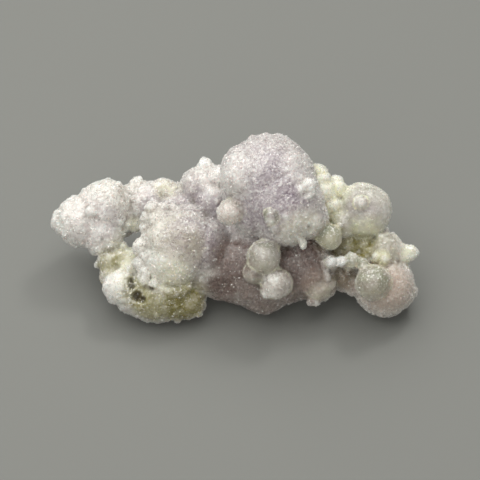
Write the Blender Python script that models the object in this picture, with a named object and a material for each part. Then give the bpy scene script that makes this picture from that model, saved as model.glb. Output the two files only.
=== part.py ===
"""Botryoidal chalcedony: one loose cluster of grape-like lumps that grew together as a single stone.

The specimen lies on a table on four low lumps, with its best face leaning back. It is laid out on that
face, in millimetres of a 50 mm specimen: across (to the right), up (up the leaning face from the front
of the table contact) and out (away from the face, towards whoever looks at it).
Model frame: metres, +X along the specimen, +Y to its back, +Z up, origin under its middle on the table.
"""

import math
import random

import bmesh
import bpy
from mathutils import Matrix, Vector, noise

# Driving dimensions
SPECIMEN_LENGTH = 0.050
LAYOUT_LENGTH = 50.85
UNIT = SPECIMEN_LENGTH / LAYOUT_LENGTH
FACE_TILT = math.radians(40.0)
# The point of the layout that the origin is under: across, back from the front edge, and height
MIDDLE_ACROSS = 0.0
MIDDLE_BACK = 9.27
TABLE_HEIGHT = 0.2

# Finish of the solid, in layout millimetres
VOXEL = 0.33
PIT_VOXEL = 0.15
SWELL_WAVE = 2.4
SWELL_DEPTH = 0.22
RIPPLE_WAVE = 0.9
RIPPLE_DEPTH = 0.09
SOLID_TRIANGLES = 9200
# Balls up to this radius are built with fewer triangles
COARSE_BALL = 1.2

# Lumps: across, up, out, radius, and for a few the stretch along the specimen
BODY = (
    (2.3, 8.9, 0.4, 5.5, 1.35),
    (9.6, 8.6, 0.2, 5.1, 1.15),
    (4.0, 5.1, 0.8, 3.6),
    (4.0, 6.9, 1.2, 4.6, 1.45),
    (0.4, 6.6, 0.4, 3.7),
    (7.6, 6.4, 0.4, 3.5),
    (-1.9, 6.5, 0.6, 3.1),
    (15.2, 7.6, 0.6, 2.6),
    (15.4, 6.3, 0.2, 1.7),
    (17.3, 8.2, 2.2, 1.9),
    (0.4, 11.6, -0.2, 4.7),
)
MIDDLE_LOBE = (
    (-7.4, 10.9, 1.7, 5.5),
    (-8.4, 9.2, 2.6, 4.3),
    (-4.2, 10.4, 1.2, 5.0),
    (-3.0, 8.4, 0.8, 4.5),
    (-10.0, 14.2, 2.8, 2.2),
    (-6.4, 14.5, 2.2, 2.2, 1.3),
)
MIDDLE_LOBE_RIM = (
    (-11.2, 16.1, 3.1, 1.0),
    (-9.8, 15.8, 3.2, 1.0),
    (-8.4, 15.9, 3.0, 0.8),
    (-11.9, 14.8, 3.0, 0.95),
    (-12.0, 13.4, 3.1, 0.95),
    (-11.7, 12.1, 3.5, 1.0),
    (-12.6, 10.8, 3.6, 1.2),
    (-11.8, 9.5, 4.0, 1.1),
    (-12.7, 8.5, 3.7, 1.05),
    (-12.0, 7.3, 4.0, 1.1),
    (-12.3, 6.1, 4.1, 1.0),
    (-10.9, 5.6, 4.6, 0.8),
    (-9.8, 5.0, 4.7, 0.75),
    (-8.9, 4.7, 4.8, 0.7),
    (-7.9, 4.6, 4.7, 0.75),
    (-7.0, 4.8, 4.5, 0.7),
    (-6.3, 5.4, 4.2, 0.7),
)
LEFT_LOBE = (
    (-19.3, 14.6, -0.4, 3.4),
    (-21.1, 14.4, -0.5, 3.5),
    (-17.7, 16.3, -0.3, 3.8),
    (-18.2, 12.8, 0.0, 3.0),
    (-23.6, 14.2, -0.6, 1.5),
    (-15.8, 15.3, -0.6, 2.5),
    (-19.7, 15.6, 3.3, 0.75),
)
BACK_RIDGE = (
    (-13.5, 19.4, -1.2, 1.1),
    (-11.9, 17.2, -0.4, 2.5),
    (-9.8, 18.4, -0.7, 1.9),
    (-11.6, 18.3, -1.1, 1.6),
    (-8.0, 17.8, -0.4, 2.0),
    (-13.0, 16.4, -0.6, 2.2),
    (-4.7, 18.9, -0.3, 2.9),
    (-3.9, 22.1, -1.2, 0.95),
    (-6.1, 20.0, -1.2, 1.0),
    (-2.7, 20.7, -1.0, 1.5),
    (-3.0, 16.8, 0.3, 3.0),
    (-14.7, 18.0, -0.8, 1.5),
    (-7.6, 16.5, 0.7, 1.7, 1.7),
    (-1.8, 20.2, 0.4, 1.9),
    (-13.8, 14.2, -0.3, 1.3),
    (-16.1, 12.4, 0.2, 0.8),
)
DOME = (
    (4.7, 19.6, 4.0, 6.5),
    (1.4, 20.5, 7.0, 3.25),
    (1.9, 21.4, 5.2, 3.6),
    (6.9, 16.2, 5.5, 5.4),
    (3.2, 15.4, 5.2, 3.3),
    (9.8, 14.9, 6.1, 3.1),
    (5.7, 17.8, 4.8, 6.0),
)
DOME_KNOBS = (
    (2.7, 25.0, 3.8, 1.0),
    (4.4, 25.2, 4.0, 1.1),
    (6.1, 25.2, 4.0, 1.15),
    (7.0, 25.15, 3.9, 0.85),
    (9.0, 23.1, 3.9, 0.8),
    (9.6, 22.1, 3.8, 0.8),
    (10.3, 20.7, 3.8, 0.9),
)
BEADS = (
    (-0.55, 15.6, 7.2, 1.8),
    (4.95, 15.2, 10.2, 0.9),
    (5.0, 14.4, 10.2, 0.9),
    (5.45, 13.5, 9.9, 0.75),
    (7.0, 15.0, 10.2, 0.9),
    (10.2, 19.0, 9.0, 1.0),
    (10.4, 18.1, 9.0, 0.8),
    (8.8, 18.4, 9.7, 0.75),
    (9.9, 17.4, 9.6, 0.6),
    (9.4, 11.3, 8.0, 0.6),
    (9.4, 10.8, 8.2, 0.5),
)
FACE_BALLS = (
    (4.15, 9.5, 7.0, 2.4),
    (2.8, 7.3, 6.4, 1.65),
    (5.8, 5.8, 6.3, 2.2),
    (4.7, 4.9, 6.6, 1.3),
)
LEFT_FOOT = (
    (-10.5, 4.2, 1.3, 3.75, 1.5),
    (-15.6, 5.2, 2.2, 2.4),
    (-14.6, 3.7, 1.7, 1.9),
    (-6.4, 3.5, 1.6, 2.6),
    (-6.4, 1.2, 1.3, 0.65),
    (-5.3, 1.9, 1.5, 0.6),
    (-4.5, 2.6, 1.6, 0.6),
    (-7.7, 0.9, 1.2, 0.75),
)
LEFT_BRIDGE = (
    (-17.2, 8.7, 0.8, 1.6),
    (-16.9, 6.9, 0.8, 1.7),
    (-15.5, 9.2, 0.8, 1.3),
    (-14.2, 9.3, 0.5, 1.4),
    (-13.7, 9.8, 0.6, 0.9),
    (-14.6, 7.7, 1.2, 1.8),
    (-15.5, 10.8, 0.2, 0.8),
    (-18.9, 8.3, 0.8, 0.55),
    (-17.0, 10.6, 0.4, 1.2),
)
RIGHT_SHOULDER = (
    (11.3, 20.7, 2.5, 1.55),
    (12.2, 18.2, 3.2, 1.75),
    (14.0, 18.5, 2.2, 1.6),
    (13.4, 16.4, 3.0, 1.5),
    (12.8, 15.2, 3.2, 1.1),
    (15.0, 13.9, 3.7, 1.7),
    (17.9, 15.8, 1.6, 3.85),
    (17.4, 16.8, 5.1, 1.1),
    (13.0, 12.2, 6.0, 1.8),
    (11.8, 19.5, 2.9, 1.65),
    (14.1, 19.7, 2.0, 1.0),
    (14.4, 13.7, 6.1, 0.5),
)
OLIVE_HOLLOW = (
    (16.0, 10.8, 0.8, 2.3),
    (18.0, 10.9, 1.0, 2.0),
    (18.6, 10.2, 2.6, 1.0),
    (19.6, 9.4, 3.7, 0.8),
    (20.6, 9.1, 4.1, 0.75),
)
WHITE_BEADS = (
    (13.15, 8.75, 5.7, 0.88),
    (14.7, 8.75, 5.5, 0.8),
    (16.1, 9.0, 4.9, 1.1),
    (17.55, 8.5, 4.9, 0.9),
    (15.75, 7.95, 4.4, 0.6),
    (15.6, 7.35, 3.6, 0.55),
    (13.6, 8.6, 4.3, 0.7),
    (15.2, 8.6, 3.8, 0.85),
    (17.0, 8.5, 3.8, 0.9),
)
RIGHT_FOOT = (
    (20.8, 5.4, 1.0, 4.25),
    (21.1, 10.5, 2.3, 2.2),
    (23.1, 9.8, 1.9, 1.4),
    (24.1, 9.95, 1.9, 1.05),
    (24.7, 10.05, 1.9, 0.7),
    (25.1, 10.15, 1.9, 0.4),
    (24.6, 4.7, 1.2, 0.75),
    (19.0, 5.95, 4.9, 2.48),
    (17.0, 6.2, 0.8, 2.2),
    (11.7, 5.6, 1.7, 2.5),
    (10.4, 3.2, 2.6, 0.65),
    (12.8, 5.9, 3.2, 1.3),
    (11.3, 3.2, 2.6, 0.7),
)
BACK = (
    (-1.0, 13.4, -2.7, 5.3),
    (9.0, 12.6, -2.2, 5.0),
    (5.0, 18.6, -0.4, 5.4),
    (-7.5, 12.6, -1.4, 3.4),
    (16.8, 14.6, -1.8, 3.0),
    (20.0, 12.0, -1.8, 1.7),
    (-4.6, 13.3, -7.3, 3.0),
    (9.6, 12.9, -7.0, 3.0),
    (3.0, 14.2, -6.6, 3.3),
    (-9.0, 15.4, -3.6, 2.6),
    (13.6, 14.8, -4.6, 2.8),
    (-16.2, 14.4, -3.0, 2.4),
    (-20.0, 14.6, -3.2, 2.2),
)
# A little column that runs down the front from the white beads
COLUMN_TOP = (12.0, 8.7, 5.4)
COLUMN_FOOT = (12.8, 6.5, 4.8)
COLUMN_RADIUS = 0.5
COLUMN_STEPS = 6

# Open pits in the left foot: across, up, out, radius
PITS = (
    (-14.1, 6.1, 4.4, 0.5),
    (-14.0, 5.4, 4.6, 0.5),
    (-13.3, 4.0, 4.9, 0.75),
    (-12.6, 3.6, 5.0, 0.5),
)
# The see-through gap between the left lobe and the middle lobe, kept clear of small knobs
GAP_ACROSS = -13.8
GAP_UP = 11.8
GAP_CLEARANCE = 1.25

# Small knobs on the lumps' skins: which lumps, how many on each, their least and largest radius, and
# how squarely one may face the viewer
KNOB_GROUPS = (
    (LEFT_LOBE[:6], 34, 0.45, 0.8, 0.75),
    (MIDDLE_LOBE[:2], 22, 0.4, 0.65, 0.6),
    (BACK_RIDGE[:11], 10, 0.35, 0.6, 1.0),
    (RIGHT_FOOT[1:2], 26, 0.35, 0.6, 0.9),
    (LEFT_FOOT[:4], 16, 0.4, 0.75, 0.7),
    (LEFT_BRIDGE[:6], 6, 0.3, 0.5, 1.0),
    (BACK, 13, 0.6, 1.7, 1.0),
)
KNOB_SINK = 0.45
KNOB_SEED = 7

STONE_COLOUR = (0.50, 0.45, 0.48, 1.0)


def on_table(across, up, out):
    """The point of the leaning face in the model frame, in metres."""
    leaned = Matrix.Rotation(FACE_TILT, 3, "X") @ Vector((across, up, out))
    return (leaned - Vector((MIDDLE_ACROSS, MIDDLE_BACK, TABLE_HEIGHT))) * UNIT


def column():
    """Short overlapping lumps from the column's top to its foot."""
    top, foot = Vector(COLUMN_TOP), Vector(COLUMN_FOOT)
    return [
        (*top.lerp(foot, step / (COLUMN_STEPS - 1)), COLUMN_RADIUS)
        for step in range(COLUMN_STEPS)
    ]


def is_buried(place, host, lumps):
    """True inside a lump other than the host, where a knob would never show."""
    return any(
        (place - Vector(lump[:3])).length < 0.9 * lump[3]
        for lump in lumps
        if lump is not host
    )


def near_gap(place, radius):
    """True where a knob would close the see-through gap."""
    return math.hypot(place.x - GAP_ACROSS, place.y - GAP_UP) < GAP_CLEARANCE + radius


def knobs(lumps):
    """Small knobs spread evenly round their host lumps, half sunk in the skin."""
    dice = random.Random(KNOB_SEED)
    golden_turn = math.pi * (3.0 - math.sqrt(5.0))
    found = []
    for hosts, count, least, largest, facing in KNOB_GROUPS:
        for host in hosts:
            for step in range(count):
                height = 1.0 - 2.0 * (step + dice.random()) / count
                turn = golden_turn * step + dice.uniform(-0.4, 0.4)
                radius = dice.uniform(least, largest)
                flat = math.sqrt(1.0 - height * height)
                way = Vector((flat * math.cos(turn), flat * math.sin(turn), height))
                place = Vector(host[:3]) + way * (host[3] - KNOB_SINK * radius)
                if way.z > facing or near_gap(place, radius):
                    continue
                if not is_buried(place, host, lumps):
                    found.append((*place, radius))
    return found


def unit_ball(subdivisions):
    """A ball of radius one."""
    work = bmesh.new()
    bmesh.ops.create_icosphere(work, subdivisions=subdivisions, radius=1.0)
    mesh = bpy.data.meshes.new("unit_ball")
    work.to_mesh(mesh)
    work.free()
    return mesh


def lump_mesh(name, lumps):
    """One mesh with a round shell for every lump, placed on the leaning face."""
    fine, coarse = unit_ball(4), unit_ball(3)
    lean = Matrix.Rotation(FACE_TILT, 4, "X")
    shells = bmesh.new()
    for across, up, out, radius, *stretch in lumps:
        wide = stretch[0] if stretch else 1.0
        size = Matrix.Diagonal((wide * radius * UNIT, radius * UNIT, radius * UNIT, 1.0))
        ball = (fine if radius > COARSE_BALL else coarse).copy()
        ball.transform(Matrix.Translation(on_table(across, up, out)) @ lean @ size)
        shells.from_mesh(ball)
        bpy.data.meshes.remove(ball)
    mesh = bpy.data.meshes.new(name)
    shells.to_mesh(mesh)
    shells.free()
    return mesh


def add_object(name, mesh):
    made = bpy.data.objects.new(name, mesh)
    bpy.context.scene.collection.objects.link(made)
    return made


def add_cutter(name, mesh):
    """A helper that cuts the stone and isn't part of it."""
    cutter = add_object(name, mesh)
    cutter.hide_render = True
    cutter.display_type = "WIRE"
    return cutter


def fused(shells, voxel):
    """The object's overlapping shells as one closed skin."""
    remesh = shells.modifiers.new("Grow together", "REMESH")
    remesh.mode = "VOXEL"
    remesh.voxel_size = voxel * UNIT
    graph = bpy.context.evaluated_depsgraph_get()
    skin = bpy.data.meshes.new_from_object(shells.evaluated_get(graph))
    shells.modifiers.clear()
    return skin


def keep_outer_shell(skin):
    """Drops the closed voids that overlapping lumps leave inside the stone."""
    work = bmesh.new()
    work.from_mesh(skin)
    unseen = set(work.verts)
    largest = set()
    while unseen:
        shell = set()
        front = [unseen.pop()]
        while front:
            vertex = front.pop()
            shell.add(vertex)
            for edge in vertex.link_edges:
                other = edge.other_vert(vertex)
                if other in unseen:
                    unseen.discard(other)
                    front.append(other)
        if len(shell) > len(largest):
            largest = shell
    inner = [vertex for vertex in work.verts if vertex not in largest]
    bmesh.ops.delete(work, geom=inner, context="VERTS")
    work.to_mesh(skin)
    work.free()


def roughen(skin):
    """Low swells and ripples over the skin, as a grown surface has."""
    waves = ((SWELL_WAVE, SWELL_DEPTH), (RIPPLE_WAVE, RIPPLE_DEPTH))
    moved = []
    for vertex in skin.vertices:
        place = vertex.co / UNIT
        height = sum(noise.noise(place / wave) * depth for wave, depth in waves)
        moved.append(vertex.co + vertex.normal * height * UNIT)
    for vertex, place in zip(skin.vertices, moved):
        vertex.co = place


def cut(stone, cutter, name):
    boolean = stone.modifiers.new(name, "BOOLEAN")
    boolean.operation = "DIFFERENCE"
    boolean.solver = "EXACT"
    boolean.object = cutter


def table_block():
    """A block under the table's surface, which trims the lumps that the stone rests on."""
    half = SPECIMEN_LENGTH
    block = bmesh.new()
    bmesh.ops.create_cube(
        block,
        size=2.0 * half,
        matrix=Matrix.Translation((0.0, 0.0, -half)),
    )
    mesh = bpy.data.meshes.new("table_block")
    block.to_mesh(mesh)
    block.free()
    return mesh


def stone_material():
    material = bpy.data.materials.new("chalcedony")
    material.use_nodes = True
    shader = material.node_tree.nodes["Principled BSDF"]
    shader.inputs["Base Color"].default_value = STONE_COLOUR
    shader.inputs["Roughness"].default_value = 0.45
    shader.inputs["Metallic"].default_value = 0.0
    return material


def build():
    for old in list(bpy.data.objects):
        bpy.data.objects.remove(old)
    lumps = [
        *BODY,
        *MIDDLE_LOBE,
        *MIDDLE_LOBE_RIM,
        *LEFT_LOBE,
        *BACK_RIDGE,
        *DOME,
        *DOME_KNOBS,
        *BEADS,
        *FACE_BALLS,
        *LEFT_FOOT,
        *LEFT_BRIDGE,
        *RIGHT_SHOULDER,
        *OLIVE_HOLLOW,
        *WHITE_BEADS,
        *RIGHT_FOOT,
        *BACK,
        *column(),
    ]
    lumps += knobs(lumps)
    stone = add_object("botryoidal_chalcedony", lump_mesh("shells", lumps))
    skin = fused(stone, VOXEL)
    keep_outer_shell(skin)
    roughen(skin)
    skin.calc_loop_triangles()
    stone.data = skin
    thinned = stone.modifiers.new("Thin the mesh", "DECIMATE")
    thinned.ratio = SOLID_TRIANGLES / len(skin.loop_triangles)
    pits = add_cutter("pit_cutter", lump_mesh("pits", PITS))
    pits.data = fused(pits, PIT_VOXEL)
    cut(stone, pits, "Open the pits")
    cut(stone, add_cutter("table_block", table_block()), "Trim at the table")
    stone.data.materials.clear()
    stone.data.materials.append(stone_material())
    for face in stone.data.polygons:
        face.use_smooth = True


build()
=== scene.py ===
import math
import random

import bmesh
import bpy
import numpy as np
from mathutils import Matrix, Vector, noise


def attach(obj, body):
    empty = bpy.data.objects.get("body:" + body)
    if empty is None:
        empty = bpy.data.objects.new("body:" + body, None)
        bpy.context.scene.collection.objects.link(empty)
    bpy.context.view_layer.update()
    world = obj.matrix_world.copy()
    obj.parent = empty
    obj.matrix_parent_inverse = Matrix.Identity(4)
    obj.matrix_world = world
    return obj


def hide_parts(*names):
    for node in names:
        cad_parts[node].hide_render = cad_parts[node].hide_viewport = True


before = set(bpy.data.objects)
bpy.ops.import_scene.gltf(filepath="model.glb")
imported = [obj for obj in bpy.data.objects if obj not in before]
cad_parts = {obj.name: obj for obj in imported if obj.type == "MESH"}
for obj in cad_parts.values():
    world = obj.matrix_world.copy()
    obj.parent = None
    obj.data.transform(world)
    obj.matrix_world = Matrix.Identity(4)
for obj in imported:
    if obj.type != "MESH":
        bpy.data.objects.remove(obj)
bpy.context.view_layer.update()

# The stone. One cluster of chalcedony balls that grew together, about 50 mm long, lying loose with its
# best face leaning back. It is laid out on that face in layout millimetres, as the solid is: across, up
# the leaning face, and out of it. The balls are grown into one skin, which then gets its fine relief.
SPECIMEN_LENGTH = 0.050
LAYOUT_LENGTH = 50.85
UNIT = SPECIMEN_LENGTH / LAYOUT_LENGTH
FACE_TILT = math.radians(40.0)
MIDDLE_ACROSS = 0.0
MIDDLE_BACK = 9.27
TABLE_HEIGHT = 0.2
# Lumps: across, up, out, radius, and for a few the stretch along the specimen
BODY = (
    (2.3, 8.9, 0.4, 5.5, 1.35),
    (9.6, 8.6, 0.2, 5.1, 1.15),
    (4.0, 5.1, 0.8, 3.6),
    (4.0, 6.9, 1.2, 4.6, 1.45),
    (0.4, 6.6, 0.4, 3.7),
    (7.6, 6.4, 0.4, 3.5),
    (-1.9, 6.5, 0.6, 3.1),
    (15.2, 7.6, 0.6, 2.6),
    (15.4, 6.3, 0.2, 1.7),
    (17.3, 8.2, 2.2, 1.9),
    (0.4, 11.6, -0.2, 4.7),
)
MIDDLE_LOBE = (
    (-7.4, 10.9, 1.7, 5.5),
    (-8.4, 9.2, 2.6, 4.3),
    (-4.2, 10.4, 1.2, 5.0),
    (-3.0, 8.4, 0.8, 4.5),
    (-10.0, 14.2, 2.8, 2.2),
    (-6.4, 14.5, 2.2, 2.2, 1.3),
)
MIDDLE_LOBE_RIM = (
    (-11.2, 16.1, 3.1, 1.0),
    (-9.8, 15.8, 3.2, 1.0),
    (-8.4, 15.9, 3.0, 0.8),
    (-11.9, 14.8, 3.0, 0.95),
    (-12.0, 13.4, 3.1, 0.95),
    (-11.7, 12.1, 3.5, 1.0),
    (-12.6, 10.8, 3.6, 1.2),
    (-11.8, 9.5, 4.0, 1.1),
    (-12.7, 8.5, 3.7, 1.05),
    (-12.0, 7.3, 4.0, 1.1),
    (-12.3, 6.1, 4.1, 1.0),
    (-10.9, 5.6, 4.6, 0.8),
    (-9.8, 5.0, 4.7, 0.75),
    (-8.9, 4.7, 4.8, 0.7),
    (-7.9, 4.6, 4.7, 0.75),
    (-7.0, 4.8, 4.5, 0.7),
    (-6.3, 5.4, 4.2, 0.7),
)
LEFT_LOBE = (
    (-19.3, 14.6, -0.4, 3.4),
    (-21.1, 14.4, -0.5, 3.5),
    (-17.7, 16.3, -0.3, 3.8),
    (-18.2, 12.8, 0.0, 3.0),
    (-23.6, 14.2, -0.6, 1.5),
    (-15.8, 15.3, -0.6, 2.5),
    (-19.7, 15.6, 3.3, 0.75),
)
BACK_RIDGE = (
    (-13.5, 19.4, -1.2, 1.1),
    (-11.9, 17.2, -0.4, 2.5),
    (-9.8, 18.4, -0.7, 1.9),
    (-11.6, 18.3, -1.1, 1.6),
    (-8.0, 17.8, -0.4, 2.0),
    (-13.0, 16.4, -0.6, 2.2),
    (-4.7, 18.9, -0.3, 2.9),
    (-3.9, 22.1, -1.2, 0.95),
    (-6.1, 20.0, -1.2, 1.0),
    (-2.7, 20.7, -1.0, 1.5),
    (-3.0, 16.8, 0.3, 3.0),
    (-14.7, 18.0, -0.8, 1.5),
    (-7.6, 16.5, 0.7, 1.7, 1.7),
    (-1.8, 20.2, 0.4, 1.9),
    (-13.8, 14.2, -0.3, 1.3),
    (-16.1, 12.4, 0.2, 0.8),
)
DOME = (
    (4.7, 19.6, 4.0, 6.5),
    (1.4, 20.5, 7.0, 3.25),
    (1.9, 21.4, 5.2, 3.6),
    (6.9, 16.2, 5.5, 5.4),
    (3.2, 15.4, 5.2, 3.3),
    (9.8, 14.9, 6.1, 3.1),
    (5.7, 17.8, 4.8, 6.0),
)
DOME_KNOBS = (
    (2.7, 25.0, 3.8, 1.0),
    (4.4, 25.2, 4.0, 1.1),
    (6.1, 25.2, 4.0, 1.15),
    (7.0, 25.15, 3.9, 0.85),
    (9.0, 23.1, 3.9, 0.8),
    (9.6, 22.1, 3.8, 0.8),
    (10.3, 20.7, 3.8, 0.9),
)
BEADS = (
    (-0.55, 15.6, 7.2, 1.8),
    (4.95, 15.2, 10.2, 0.9),
    (5.0, 14.4, 10.2, 0.9),
    (5.45, 13.5, 9.9, 0.75),
    (7.0, 15.0, 10.2, 0.9),
    (10.2, 19.0, 9.0, 1.0),
    (10.4, 18.1, 9.0, 0.8),
    (8.8, 18.4, 9.7, 0.75),
    (9.9, 17.4, 9.6, 0.6),
    (9.4, 11.3, 8.0, 0.6),
    (9.4, 10.8, 8.2, 0.5),
)
FACE_BALLS = (
    (4.15, 9.5, 7.0, 2.4),
    (2.8, 7.3, 6.4, 1.65),
    (5.8, 5.8, 6.3, 2.2),
    (4.7, 4.9, 6.6, 1.3),
)
LEFT_FOOT = (
    (-10.5, 4.2, 1.3, 3.75, 1.5),
    (-15.6, 5.2, 2.2, 2.4),
    (-14.6, 3.7, 1.7, 1.9),
    (-6.4, 3.5, 1.6, 2.6),
    (-6.4, 1.2, 1.3, 0.65),
    (-5.3, 1.9, 1.5, 0.6),
    (-4.5, 2.6, 1.6, 0.6),
    (-7.7, 0.9, 1.2, 0.75),
)
LEFT_BRIDGE = (
    (-17.2, 8.7, 0.8, 1.6),
    (-16.9, 6.9, 0.8, 1.7),
    (-15.5, 9.2, 0.8, 1.3),
    (-14.2, 9.3, 0.5, 1.4),
    (-13.7, 9.8, 0.6, 0.9),
    (-14.6, 7.7, 1.2, 1.8),
    (-15.5, 10.8, 0.2, 0.8),
    (-18.9, 8.3, 0.8, 0.55),
    (-17.0, 10.6, 0.4, 1.2),
)
RIGHT_SHOULDER = (
    (11.3, 20.7, 2.5, 1.55),
    (12.2, 18.2, 3.2, 1.75),
    (14.0, 18.5, 2.2, 1.6),
    (13.4, 16.4, 3.0, 1.5),
    (12.8, 15.2, 3.2, 1.1),
    (15.0, 13.9, 3.7, 1.7),
    (17.9, 15.8, 1.6, 3.85),
    (17.4, 16.8, 5.1, 1.1),
    (13.0, 12.2, 6.0, 1.8),
    (11.8, 19.5, 2.9, 1.65),
    (14.1, 19.7, 2.0, 1.0),
    (14.4, 13.7, 6.1, 0.5),
)
OLIVE_HOLLOW = (
    (16.0, 10.8, 0.8, 2.3),
    (18.0, 10.9, 1.0, 2.0),
    (18.6, 10.2, 2.6, 1.0),
    (19.6, 9.4, 3.7, 0.8),
    (20.6, 9.1, 4.1, 0.75),
)
WHITE_BEADS = (
    (13.15, 8.75, 5.7, 0.88),
    (14.7, 8.75, 5.5, 0.8),
    (16.1, 9.0, 4.9, 1.1),
    (17.55, 8.5, 4.9, 0.9),
    (15.75, 7.95, 4.4, 0.6),
    (15.6, 7.35, 3.6, 0.55),
    (13.6, 8.6, 4.3, 0.7),
    (15.2, 8.6, 3.8, 0.85),
    (17.0, 8.5, 3.8, 0.9),
)
RIGHT_FOOT = (
    (20.8, 5.4, 1.0, 4.25),
    (21.1, 10.5, 2.3, 2.2),
    (23.1, 9.8, 1.9, 1.4),
    (24.1, 9.95, 1.9, 1.05),
    (24.7, 10.05, 1.9, 0.7),
    (25.1, 10.15, 1.9, 0.4),
    (24.6, 4.7, 1.2, 0.75),
    (19.0, 5.95, 4.9, 2.48),
    (17.0, 6.2, 0.8, 2.2),
    (11.7, 5.6, 1.7, 2.5),
    (10.4, 3.2, 2.6, 0.65),
    (12.8, 5.9, 3.2, 1.3),
    (11.3, 3.2, 2.6, 0.7),
)
BACK = (
    (-1.0, 13.4, -2.7, 5.3),
    (9.0, 12.6, -2.2, 5.0),
    (5.0, 18.6, -0.4, 5.4),
    (-7.5, 12.6, -1.4, 3.4),
    (16.8, 14.6, -1.8, 3.0),
    (20.0, 12.0, -1.8, 1.7),
    (-4.6, 13.3, -7.3, 3.0),
    (9.6, 12.9, -7.0, 3.0),
    (3.0, 14.2, -6.6, 3.3),
    (-9.0, 15.4, -3.6, 2.6),
    (13.6, 14.8, -4.6, 2.8),
    (-16.2, 14.4, -3.0, 2.4),
    (-20.0, 14.6, -3.2, 2.2),
)
# A little column that runs down the front from the white beads
COLUMN_TOP = (12.0, 8.7, 5.4)
COLUMN_FOOT = (12.8, 6.5, 4.8)
COLUMN_RADIUS = 0.5
COLUMN_STEPS = 6

# Open pits in the left foot: across, up, out, radius
PITS = (
    (-14.1, 6.1, 4.4, 0.5),
    (-14.0, 5.4, 4.6, 0.5),
    (-13.3, 4.0, 4.9, 0.75),
    (-12.6, 3.6, 5.0, 0.5),
)
# The see-through gap between the left lobe and the middle lobe, kept clear of small knobs
GAP_ACROSS = -13.8
GAP_UP = 11.8
GAP_CLEARANCE = 1.25

# Small knobs on the lumps' skins: which lumps, how many on each, their least and largest radius, and
# how squarely one may face the viewer
KNOB_GROUPS = (
    (LEFT_LOBE[:6], 34, 0.45, 0.8, 0.75),
    (MIDDLE_LOBE[:2], 22, 0.4, 0.65, 0.6),
    (BACK_RIDGE[:11], 10, 0.35, 0.6, 1.0),
    (RIGHT_FOOT[1:2], 26, 0.35, 0.6, 0.9),
    (LEFT_FOOT[:4], 16, 0.4, 0.75, 0.7),
    (LEFT_BRIDGE[:6], 6, 0.3, 0.5, 1.0),
    (BACK, 13, 0.6, 1.7, 1.0),
)
KNOB_SINK = 0.45
KNOB_SEED = 7
# The skin's cell, and how a ball's roundness follows its size
SKIN_VOXEL = 0.232
BALL_STEPS = ((2.5, 6), (1.2, 5), (0.6, 4), (0.0, 3))
BURIED_DEPTH = 0.9
TURN_PLAY = 0.4


def on_table(across, up, out):
    """The point of the leaning face in metres, on the table."""
    leaned = Matrix.Rotation(FACE_TILT, 3, "X") @ Vector((across, up, out))
    return (leaned - Vector((MIDDLE_ACROSS, MIDDLE_BACK, TABLE_HEIGHT))) * UNIT


def column():
    """Short overlapping lumps from the column's top to its foot."""
    top, foot = Vector(COLUMN_TOP), Vector(COLUMN_FOOT)
    return [
        (*top.lerp(foot, step / (COLUMN_STEPS - 1)), COLUMN_RADIUS)
        for step in range(COLUMN_STEPS)
    ]


def is_buried(place, host, lumps):
    return any(
        (place - Vector(lump[:3])).length < BURIED_DEPTH * lump[3]
        for lump in lumps
        if lump is not host
    )


def near_gap(place, radius):
    return math.hypot(place.x - GAP_ACROSS, place.y - GAP_UP) < GAP_CLEARANCE + radius


def knobs(lumps):
    """Small knobs spread evenly round their host lumps, half sunk in the skin."""
    dice = random.Random(KNOB_SEED)
    golden_turn = math.pi * (3.0 - math.sqrt(5.0))
    found = []
    for hosts, count, least, largest, facing in KNOB_GROUPS:
        for host in hosts:
            for step in range(count):
                height = 1.0 - 2.0 * (step + dice.random()) / count
                turn = golden_turn * step + dice.uniform(-TURN_PLAY, TURN_PLAY)
                radius = dice.uniform(least, largest)
                flat = math.sqrt(1.0 - height * height)
                way = Vector((flat * math.cos(turn), flat * math.sin(turn), height))
                place = Vector(host[:3]) + way * (host[3] - KNOB_SINK * radius)
                if way.z > facing or near_gap(place, radius):
                    continue
                if not is_buried(place, host, lumps):
                    found.append((*place, radius))
    return found


def unit_ball(subdivisions):
    work = bmesh.new()
    bmesh.ops.create_icosphere(work, subdivisions=subdivisions, radius=1.0)
    mesh = bpy.data.meshes.new("unit_ball")
    work.to_mesh(mesh)
    work.free()
    return mesh


def grown_together(name, lumps, voxel):
    """The overlapping balls as one closed skin, without the voids between them."""
    balls = {subdivisions: unit_ball(subdivisions) for _, subdivisions in BALL_STEPS}
    work = bmesh.new()
    for across, up, out, radius, *stretch in lumps:
        subdivisions = next(steps for least, steps in BALL_STEPS if radius >= least)
        ball = balls[subdivisions].copy()
        along = stretch[0] if stretch else 1.0
        size = Matrix.Diagonal((*(radius * UNIT * s for s in (along, 1.0, 1.0)), 1.0))
        seat = Matrix.Translation(on_table(across, up, out)) @ Matrix.Rotation(FACE_TILT, 4, "X")
        ball.transform(seat @ size)
        work.from_mesh(ball)
        bpy.data.meshes.remove(ball)
    shells = bpy.data.meshes.new(name)
    work.to_mesh(shells)
    work.free()
    holder = bpy.data.objects.new(name, shells)
    bpy.context.scene.collection.objects.link(holder)
    remesh = holder.modifiers.new("Grow together", "REMESH")
    remesh.mode = "VOXEL"
    remesh.voxel_size = voxel * UNIT
    graph = bpy.context.evaluated_depsgraph_get()
    skin = bpy.data.meshes.new_from_object(holder.evaluated_get(graph))
    bpy.data.objects.remove(holder)
    return skin


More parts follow.
